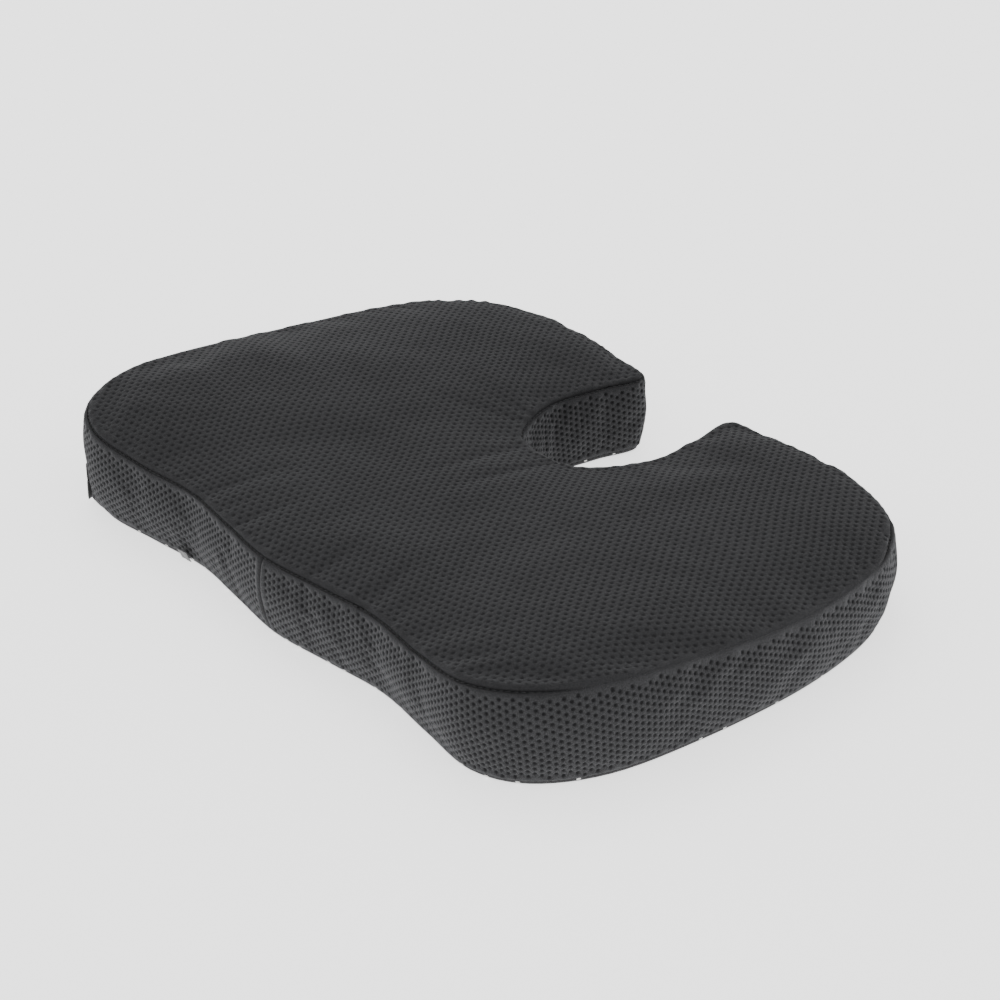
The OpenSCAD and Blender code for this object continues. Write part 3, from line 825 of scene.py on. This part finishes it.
def band(name, u0, u1, node, seed, low=None, ang=36.0, pitch=3.9):
    U, S = arc_table(u0, u1)
    total = S[-1]

    def u_of(s):
        return np.interp(s, S, U)

    def z_top(s):
        return seam_z(u_of(s))

    def z_low(s):
        return np.full(np.shape(s), BASE_Z) if low is None else low(u_of(s))

    def line(fz, step, q):
        n = max(4, int(total / step))
        s = np.linspace(0, total, n)
        return np.stack([s, fz(s) + q], 1)

    loT = line(z_top, 1.6, 0)
    loB = line(z_low, 1.6, 0)
    zt1, zb1 = float(z_top(total)), float(z_low(total))
    zt0, zb0 = float(z_top(0.0)), float(z_low(0.0))
    nright = [np.array([total, z]) for z in np.linspace(zb1, zt1, 24)[1:-1]]
    nleft = [np.array([0.0, z]) for z in np.linspace(zt0, zb0, 24)[1:-1]]
    border = np.concatenate([loB, np.array(nright), loT[::-1], np.array(nleft)])
    opens = []
    for q, st in ((-0.8, 1.8), (-1.6, 1.9)):
        l = line(z_top, st, q)
        opens.append(l[(l[:, 0] > 1.0) & (l[:, 0] < total - 1.0)])
    for q, st in ((0.7, 1.8), (1.4, 2.1)):
        l = line(z_low, st, q)
        opens.append(l[(l[:, 0] > 1.0) & (l[:, 0] < total - 1.0)])
    for s0 in (1.0, 2.2, total - 2.2, total - 1.0):
        za, zb = float(z_low(s0)) + 4.0, float(z_top(s0)) - 5.2
        opens.append(np.stack([np.full(20, s0), np.linspace(za, zb, 20)], 1))
    c = lattice(0, total, 0, 72, pitch, ang)
    c = c + np.stack([1.2 * noise2(c[:, 0] / 40, c[:, 1] / 25, seed), 1.2 * noise2(c[:, 0] / 40, c[:, 1] / 25, seed + 1)], 1)
    m = ((c[:, 1] < z_top(c[:, 0]) - 3.3) & (c[:, 1] > z_low(c[:, 0]) + 3.1) & (c[:, 0] > 3.8) & (c[:, 0] < total - 3.8))
    c = c[m]
    sU = np.interp(U, U_F, ARC) if u0 >= 0 else None

    def place(sz):
        s, z = sz[:, 0], sz[:, 1]
        u = u_of(s)
        P = on_wall(u, z)
        e = 0.02
        du = on_wall(u + e, z) - on_wall(u - e, z)
        dz = on_wall(u, z + 0.8) - on_wall(u, z - 0.8)
        n = np.cross(du, dz)
        inn = np.concatenate([inward(u), np.zeros((len(u), 1))], 1)
        n /= np.maximum(np.linalg.norm(n, axis=1, keepdims=True), 1e-9)
        n[(n * inn).sum(1) > 0] *= -1
        q = np.maximum(z_top(s) - z, 0)
        b = np.maximum(z - z_low(s), 0)
        x = np.minimum(s, total - s)
        kk = np.interp(np.mod(u, UN), U_F, np.arange(len(U_F))).astype(int) % len(U_F)
        w = seam_wave(kk)
        A = groove(kk)
        g = np.exp(-(q / 0.95) ** 2) * A
        gb = np.exp(-(b / 0.9) ** 2)
        gx = np.exp(-(x / 0.9) ** 2)
        rid = np.exp(-((q - 3.2) / 1.8) ** 2) * (0.25 + 0.75 * A) * (0.4 + 0.18 * w) + np.exp(-((b - 2.6) / 1.5) ** 2) * (0.45 + 0.12 * w)
        rid += 0.5 * np.exp(-((x - 2.6) / 1.4) ** 2) * (1 - g) * (1 - gb)
        P = P + inn * (1.7 * g + 1.5 * gb + 1.4 * gx * (1 - g) * (1 - gb))[:, None]
        P[:, 2] += -1.7 * g
        P = P - inn * rid[:, None]
        sw = 0.5 * noise2(s / 23.0, z / 17.0, seed + 4) + 0.8 * noise2(s / 60.0, z / 60.0, seed + 5)
        fade = (1 - np.exp(-q / 6.0)) * (1 - np.exp(-b / 6.0))
        P = P - inn * (sw * fade)[:, None]
        P = P - inn * (0.14 * w * np.exp(-np.maximum(np.minimum(q, b) - 3, 0) / 6) * fade)[:, None]
        # painted shade: the colour darkens in the seam grooves at top and bottom and at the end joins
        painted_shade = 0.75 * np.maximum(np.exp(-(q / 1.3) ** 2) * A, np.maximum(np.exp(-(b / 1.2) ** 2), 0.9 * np.exp(-(x / 1.0) ** 2)))
        return P, n, painted_shade

    def keep(cc):
        return ((cc[:, 1] < z_top(cc[:, 0])) & (cc[:, 1] > z_low(cc[:, 0])) & (cc[:, 0] > 0) & (cc[:, 0] < total))

    ob = build_holed(name, [border], opens, c, 1.42, 0.74, 0.78, place, keep, M_WALL, seed)
    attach(ob, "root"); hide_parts(node)
    return ob


ZIP_U0, ZIP_U1 = -9.27, -4.6


def low_left(u):
    f = smooth(ZIP_U0 - 0.03, ZIP_U0 + 0.03, u) * (1 - smooth(ZIP_U1 - 0.03, ZIP_U1 + 0.03, u))
    return BASE_Z + (ZIP_TOP - BASE_Z) * f


band("band_right", 0.0, 12.0, "boxing_right", 41)
band("band_left", -12.0, 0.0, "boxing_left", 51, low=low_left)
band("band_notch", 12.0, 24.0, "boxing_notch", 61)


# ---------------------------------------------------------------- underside
def base_edge(u):
    return at(u) + inward(u) * (wall_in(u, np.full(np.shape(u), BASE_Z)))[..., None]


def make_base():
    nj, nt = 2 * NR + 1, 30
    tt = np.concatenate([[0, 0.004, 0.009, 0.016, 0.026, 0.04, 0.06], np.linspace(0.09, 0.91, nt - 13), 1 - np.array([0.06, 0.04, 0.026, 0.016, 0.009, 0.004, 0])])
    a, b = base_edge(U_IN), base_edge(U_OUT)
    L = np.linalg.norm(b - a, axis=1)[:, None]
    # distances from either edge, the same in mm on every rung
    ds = np.array([0, 0.6, 1.3, 2.2, 3.4, 5.0, 7.5])
    tabs = []
    for Lj in L[:, 0]:
        e = np.minimum(ds / max(Lj, 1e-6), 0.08 * np.arange(7) / 6 + 1e-9) if Lj < 100 else ds / Lj
        tabs.append(np.concatenate([e, np.linspace(e[-1], 1 - e[-1], nt - 12)[1:-1], 1 - e[::-1]]))
    tt = np.array(tabs)
    P = a[:, None] + (b - a)[:, None] * tt[..., None]
    d = np.minimum(tt, 1 - tt) * L
    z = np.interp(d, [0, 0.6, 1.3, 2.2, 3.4, 5.0, 7.5, 9], [2.7, 2.0, 1.1, 0.35, 0.06, 0.06, 0.5, 0.55])
    ins = np.interp(d, [0, 0.6, 1.3, 2.2], [1.5, 0.5, 0.1, 0.0])
    ia, ib = inward(U_IN), inward(U_OUT)
    near_a = (tt < 0.5)
    P = P + np.where(near_a[..., None], ia[:, None], ib[:, None]) * ins[..., None]
    V = np.concatenate([P, z[..., None]], -1)
    g = np.arange(V.shape[0] * V.shape[1]).reshape(V.shape[:2])
    fc = grid_faces(g)
    ob = new_mesh("base_fabric", V.reshape(-1, 3), fc, M_BASE)
    bm = bmesh.new(); bm.from_mesh(ob.data)
    bmesh.ops.remove_doubles(bm, verts=bm.verts, dist=0.00002)
    bmesh.ops.recalc_face_normals(bm, faces=bm.faces)
    down = sum((f.normal.z for f in bm.faces if abs(f.normal.z) > 0.9))
    if down > 0:
        bmesh.ops.reverse_faces(bm, faces=bm.faces)
    bm.to_mesh(ob.data); bm.free()
    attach(ob, "root"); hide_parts("bottom_panel")
    return ob


make_base()

# grip dots: printed rubber drops, in the places the CAD has them, and a few that wrap round the edge
U_Q = np.arange(0, UN, 0.25)
W_Q = wall_in(U_Q, np.full(len(U_Q), BASE_Z))
BASE_POLY = at(U_Q) + inward(U_Q) * W_Q[:, None]
DOT_EDGE = at(U_Q) + inward(U_Q) * (W_Q + 6 + 1.6 + 1)[:, None]


def dome(centre, nrm, r, h, rings=3, n=12):
    nrm = np.array(nrm, float); nrm /= np.linalg.norm(nrm)
    t = np.array([0, 0, 1.0]) if abs(nrm[2]) < 0.9 else np.array([1.0, 0, 0])
    a = np.cross(nrm, t); a /= np.linalg.norm(a)
    b = np.cross(nrm, a)
    vs, fs = [], []
    for k in range(rings):
        f = k / rings
        rr = r * math.cos(f * math.pi / 2) ** 0.75
        hh = h * math.sin(f * math.pi / 2)
        for i in range(n):
            q = 2 * math.pi * i / n
            vs.append(centre + a * rr * math.cos(q) + b * rr * math.sin(q) + nrm * hh)
    vs.append(centre + nrm * h)
    for k in range(rings - 1):
        for i in range(n):
            fs.append([k * n + i, k * n + (i + 1) % n, (k + 1) * n + (i + 1) % n, (k + 1) * n + i])
    for i in range(n):
        fs.append([(rings - 1) * n + i, (rings - 1) * n + (i + 1) % n, rings * n])
    return vs, fs


def make_dots():
    P = []
    pitch = 14.0
    rows = np.arange(-14, 15)
    for r in rows:
        for c in range(-17, 18):
            P.append([(c + (0 if r % 2 == 0 else 0.5)) * pitch, r * pitch * math.sin(math.radians(60))])
    P = np.array(P)
    P = P[(abs(P[:, 0]) < 225) & (abs(P[:, 1]) < 158)]
    P = P[inside_big(P, DOT_EDGE)]
    vs, fs = [], []
    for x, y in P:
        v, f = dome(np.array([x, y, 0.6]), (0, 0, -1), 1.6, 0.6)
        n0 = len(vs); vs += v; fs += [[i + n0 for i in q] for q in f]
    # on the rolled edge
    k = 0
    for u in np.arange(-11.9, 23.9, 0.27):
        k += 1
        if ZIP_U0 - 0.3 < u < ZIP_U1 + 0.3 or _hash(np.int64(k), np.int64(7), 3) < -0.1:
            continue
        uu = u + 0.08 * float(noise2(u * 3.1, 0.5, 8))
        i = inward(uu)
        p = base_edge(np.array([uu]))[0]
        dd = 0.9 + 0.5 * float(noise2(u * 1.7, 2.5, 9))
        z = float(np.interp(dd, [0, 0.6, 1.3, 2.2, 3.4], [2.7, 2.0, 1.1, 0.35, 0.06]))
        ins = float(np.interp(dd, [0, 0.6, 1.3, 2.2], [1.5, 0.5, 0.1, 0.0]))
        c = np.array([p[0] + i[0] * (dd + ins + 0.15), p[1] + i[1] * (dd + ins + 0.15), z + 0.1])
        v, f = dome(c, (-i[0], -i[1], -0.9), 1.25, 0.5)
        v = [np.array([q[0], q[1], max(q[2], 0.02)]) for q in v]
        n0 = len(vs); vs += v; fs += [[j + n0 for j in q] for q in f]
    ob = new_mesh("grip_dot_field", np.array(vs), fs, M_DOT)
    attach(ob, "root"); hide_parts("grip_dots")


make_dots()


# ---------------------------------------------------------------- stitches in the seams
def stitch_row(name, path, node, length=2.6, gap=1.0, r=0.33, closed=True):
    """Short twisted stitches laid along a path of 3-D points, in mm."""
    path = np.array(path, float)
    if closed:
        path = np.concatenate([path, path[:1]])
    seg = np.linalg.norm(np.diff(path, axis=0), axis=1)
    s = np.concatenate([[0], np.cumsum(seg)])
    n = int(s[-1] / (length + gap))
    vs, fs = [], []
    NS, NC = 6, 6
    for k in range(n):
        s0 = (k + 0.1) * s[-1] / n
        ss = s0 + np.linspace(0, length, NS)
        c = np.stack([np.interp(ss, s, path[:, i]) for i in range(3)], 1)
        t = c[-1] - c[0]
        t /= max(np.linalg.norm(t), 1e-9)
        up = np.array([0, 0, 1.0]) if abs(t[2]) < 0.8 else np.array([1.0, 0, 0])
        a = np.cross(t, up); a /= np.linalg.norm(a)
        b = np.cross(a, t)
        n0 = len(vs)
        for i in range(NS):
            f = i / (NS - 1)
            rr = r * (0.35 + 0.65 * math.sin(math.pi * f) ** 0.5)
            for q in range(NC):
                an = 2 * math.pi * q / NC
                vs.append(c[i] + a * rr * math.cos(an) + b * rr * math.sin(an))
        for i in range(NS - 1):
            for q in range(NC):
                fs.append([n0 + i * NC + q, n0 + i * NC + (q + 1) % NC, n0 + (i + 1) * NC + (q + 1) % NC, n0 + (i + 1) * NC + q])
        fs.append([n0 + q for q in range(NC)][::-1])
        fs.append([n0 + (NS - 1) * NC + q for q in range(NC)])
    ob = new_mesh(name, np.array(vs), fs, M_THREAD)
    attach(ob, "root"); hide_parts(*([node] if isinstance(node, str) else node))
    return ob


uu = np.arange(-12, 24, 0.04)
pp, ii, zz = at(uu), inward(uu), seam_z(uu)
stitch_row("stitches_top", np.concatenate([pp + ii * 1.35, (zz - 1.5)[:, None]], 1), "top_seam_thread")
ww = wall_in(uu, np.full(len(uu), BASE_Z))
stitch_row("stitches_bottom", np.concatenate([pp + ii * (ww + 1.1)[:, None], np.full((len(uu), 1), 2.7)], 1), "bottom_seam_thread")


def join_path(u):
    z = np.linspace(BASE_Z + 2, float(seam_z(u)) - 3, 40)
    p = on_wall(np.full(40, float(u)), z)
    i = inward(u)
    return p + np.array([i[0], i[1], 0]) * 1.0


stitch_row("stitches_front_join", join_path(0.0), "front_join_thread", closed=False)
a = stitch_row("stitches_rear_joins", join_path(11.995), "rear_join_threads", closed=False)
b = stitch_row("stitches_rear_join_left", join_path(-11.995), "rear_join_threads", closed=False)

# ---------------------------------------------------------------- foam and liner, from the same net, set inside the cover
NET_N = net_normals(V1)


def inner_skin(name, depth, floor_z, fc, node, mat):
    v = V1 - NET_N * depth
    v[:, 2] = np.where(V1[:, 2] > 34, np.minimum(v[:, 2], V1[:, 2] - 0.6 * depth), v[:, 2])
    v[:, 2] = np.maximum(v[:, 2], floor_z)
    used = sorted({i for f in fc for i in f})
    back = {o: n for n, o in enumerate(used)}
    ob = new_mesh(name, v[used], [[back[i] for i in f] for f in fc], mat)
    bm = bmesh.new(); bm.from_mesh(ob.data)
    bmesh.ops.recalc_face_normals(bm, faces=bm.faces)
    bm.to_mesh(ob.data); bm.free()
    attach(ob, "root"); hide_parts(node)
    return ob


W_LOOP = np.concatenate([widx, widx[:1]])
SPLIT = 4
inner_skin("foam_block", 6.4, 3.9, faces, "foam_core", M_FOAM)
inner_skin("liner_cap", 5.0, 3.2, grid_faces(idx, True) + grid_faces(W_LOOP[:, :SPLIT + 1], True), "liner_upper", M_LINER)
inner_skin("liner_tray", 5.05, 3.1, grid_faces(bidx, False) + grid_faces(W_LOOP[:, SPLIT:], True), "liner_lower", M_LINER)


# ---------------------------------------------------------------- zip
def on_track(deg, r):
    t = np.radians(deg)
    return np.stack([ZC[0] + r * np.cos(t), ZC[1] + r * np.sin(t)], -1)


ZIP_A0, ZIP_A1 = 205.4, 163.8


def tape(name, z0, z1, node, seed):
    """Woven tape: two faces 0.9 mm apart, with rolled edges and a slight ripple."""
    n, m = 360, 10
    deg = np.linspace(ZIP_A1 - 1.1, ZIP_A0 + 0.9, n)
    # the section runs once round: up the outer face and down the inner one
    prof = [(z0 + (z1 - z0) * t, 0.45 * (1 - 0.55 * (2 * abs(t - 0.5)) ** 8)) for t in np.linspace(0, 1, m)]
    ring = [(z, h) for z, h in prof] + [(z, -h) for z, h in prof[::-1]]
    V = np.zeros((n, len(ring), 3))
    for k, (z, h) in enumerate(ring):
        rip = 0.12 * noise2(deg * 1.9, np.full(n, z / 5.0), seed) * (0.3 + abs(z - ZIP_Z) / 10)
        V[:, k, :2] = on_track(deg, ZR + h + rip)
        # past the last teeth the two tapes close up
        t = (z - z0) / (z1 - z0)
        V[:, k, 2] = z + np.interp(deg, [ZIP_A1 - 0.1, ZIP_A1 + 0.25, ZIP_A0 - 0.2, ZIP_A0 + 0.1], [1, 0, 0, 1]) * (
            -2.8 * (1 - t) if z0 > ZIP_Z else 2.8 * t)
    g = np.arange(n * len(ring)).reshape(n, len(ring))
    g = np.concatenate([g, g[:, :1]], 1)
    fc = grid_faces(g)
    L = len(ring)
    fc += [list(range(L)), list(range((n - 1) * L, n * L))[::-1]]
    ob = new_mesh(name, V.reshape(-1, 3), fc, M_TAPE)
    bm = bmesh.new(); bm.from_mesh(ob.data)
    bmesh.ops.recalc_face_normals(bm, faces=bm.faces)
    bm.to_mesh(ob.data); bm.free()
    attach(ob, "root"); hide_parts(node)
    return ob


def softened(node, name, width, mat, body, segs=2):
    """The CAD piece with its edges rounded over."""
    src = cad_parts[node]
    me = src.data.copy()
    ob = bpy.data.objects.new(name, me)
    bpy.context.scene.collection.objects.link(ob)
    me.transform(src.matrix_world)
    bm = bmesh.new(); bm.from_mesh(me)
    bmesh.ops.remove_doubles(bm, verts=bm.verts, dist=0.000002)
    bmesh.ops.dissolve_limit(bm, angle_limit=math.radians(2.0), verts=bm.verts, edges=bm.edges)
    sharp = [e for e in bm.edges if len(e.link_faces) == 2 and e.calc_face_angle(0) > math.radians(35)]
    bmesh.ops.bevel(bm, geom=sharp, offset=width * MM, offset_type="OFFSET", segments=segs, profile=0.6, affect="EDGES", clamp_overlap=True)
    bmesh.ops.triangulate(bm, faces=bm.faces)
    bm.to_mesh(me); bm.free()
    me.materials.clear(); me.materials.append(mat)
    me.polygons.foreach_set("use_smooth", [True] * len(me.polygons))
    me.set_sharp_from_angle(angle=math.radians(38))
    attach(ob, body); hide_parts(node)
    return ob


tape("tape_upper", ZIP_Z + 2.9, ZIP_TOP + 1.0, "zip_tape_upper", 71)
tape("tape_lower", BASE_Z, ZIP_Z - 2.9, "zip_tape_lower", 72)
softened("zip_teeth_upper", "teeth_upper", 0.18, M_TEETH, "root", 1)
softened("zip_teeth_lower", "teeth_lower", 0.18, M_TEETH, "root", 1)
softened("zip_end_stop", "end_stop", 0.35, M_TEETH, "root")
softened("zip_start_stops", "start_stops", 0.12, M_METAL, "root")
softened("zip_slider", "slider_body", 0.22, M_METAL, "slider")
softened("zip_pull", "pull_tab", 0.2, M_METAL, "pull")


def label():
    """Blank woven tag, folded, caught in the bottom seam and lying on the band."""
    n, m = 15, 13
    us = (-2.2) + np.linspace(-0.09, 0.09, n)
    zs = np.linspace(BASE_Z + 0.3, 9.4, m)
    uu_, zz_ = np.meshgrid(us, zs, indexing="ij")
    P = on_wall(uu_.ravel(), zz_.ravel()).reshape(n, m, 3)
    i_ = inward(uu_)
    t = (zz_ - zs[0]) / (zs[-1] - zs[0])
    off = 2.1 + 0.6 * t ** 2 + 0.12 * np.sin(uu_ * 60)
    sides = []
    for th in (0.0, 0.5):
        Q = P.copy()
        Q[..., :2] -= i_ * (off + th)[..., None]
        sides.append(Q)
    V = np.concatenate([sides[1].reshape(-1, 3), sides[0].reshape(-1, 3)])
    g0 = np.arange(n * m).reshape(n, m)
    g1 = g0 + n * m
    fc = grid_faces(g0) + grid_faces(g1, True)
    rim = [g0[0, k] for k in range(m)] + [g0[k, m - 1] for k in range(1, n)] + [g0[n - 1, k] for k in range(m - 2, -1, -1)] + [g0[k, 0] for k in range(n - 2, 0, -1)]
    for a, b in zip(rim, rim[1:] + rim[:1]):
        fc.append([int(a), int(b), int(b) + n * m, int(a) + n * m])
    ob = new_mesh("tag", V, fc, M_LABEL)
    bm = bmesh.new(); bm.from_mesh(ob.data)
    bmesh.ops.recalc_face_normals(bm, faces=bm.faces)
    bm.to_mesh(ob.data); bm.free()
    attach(ob, "root"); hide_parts("care_label")


label()

# ---------------------------------------------------------------- stage and light
def stage():
    me = bpy.data.meshes.new("floor")
    me.from_pydata([(-6, -6, 0), (6, -6, 0), (6, 6, 0), (-6, 6, 0)], [], [(0, 1, 2, 3)])
    ob = bpy.data.objects.new("floor", me)
    bpy.context.scene.collection.objects.link(ob)
    m, nt, bs = mat_new("floor")
    bs.inputs["Base Color"].default_value = (0.95, 0.95, 0.95, 1)
    bs.inputs["Roughness"].default_value = 0.9
    bs.inputs["Emission Color"].default_value = (1, 1, 1, 1)
    bs.inputs["Emission Strength"].default_value = 1.5
    me.materials.append(m)
    w = bpy.data.worlds.new("world")
    w.use_nodes = True
    w.node_tree.nodes["Background"].inputs[0].default_value = (1, 1, 1, 1)
    w.node_tree.nodes["Background"].inputs[1].default_value = 1.0
    bpy.context.scene.world = w


def area(name, loc, target, size, power):
    l = bpy.data.lights.new(name, "AREA")
    l.shape = "RECTANGLE"
    l.size, l.size_y = size
    l.energy = power
    ob = bpy.data.objects.new(name, l)
    ob.location = loc
    ob.rotation_euler = (Vector(target) - Vector(loc)).to_track_quat("-Z", "Y").to_euler()
    bpy.context.scene.collection.objects.link(ob)


stage()
area("key", (-1.2, 0.5, 2.4), (0, 0, 0), (1.4, 1.4), 12)
area("fill", (1.6, -1.8, 1.4), (0, 0, 0.03), (1.6, 1.2), 6)
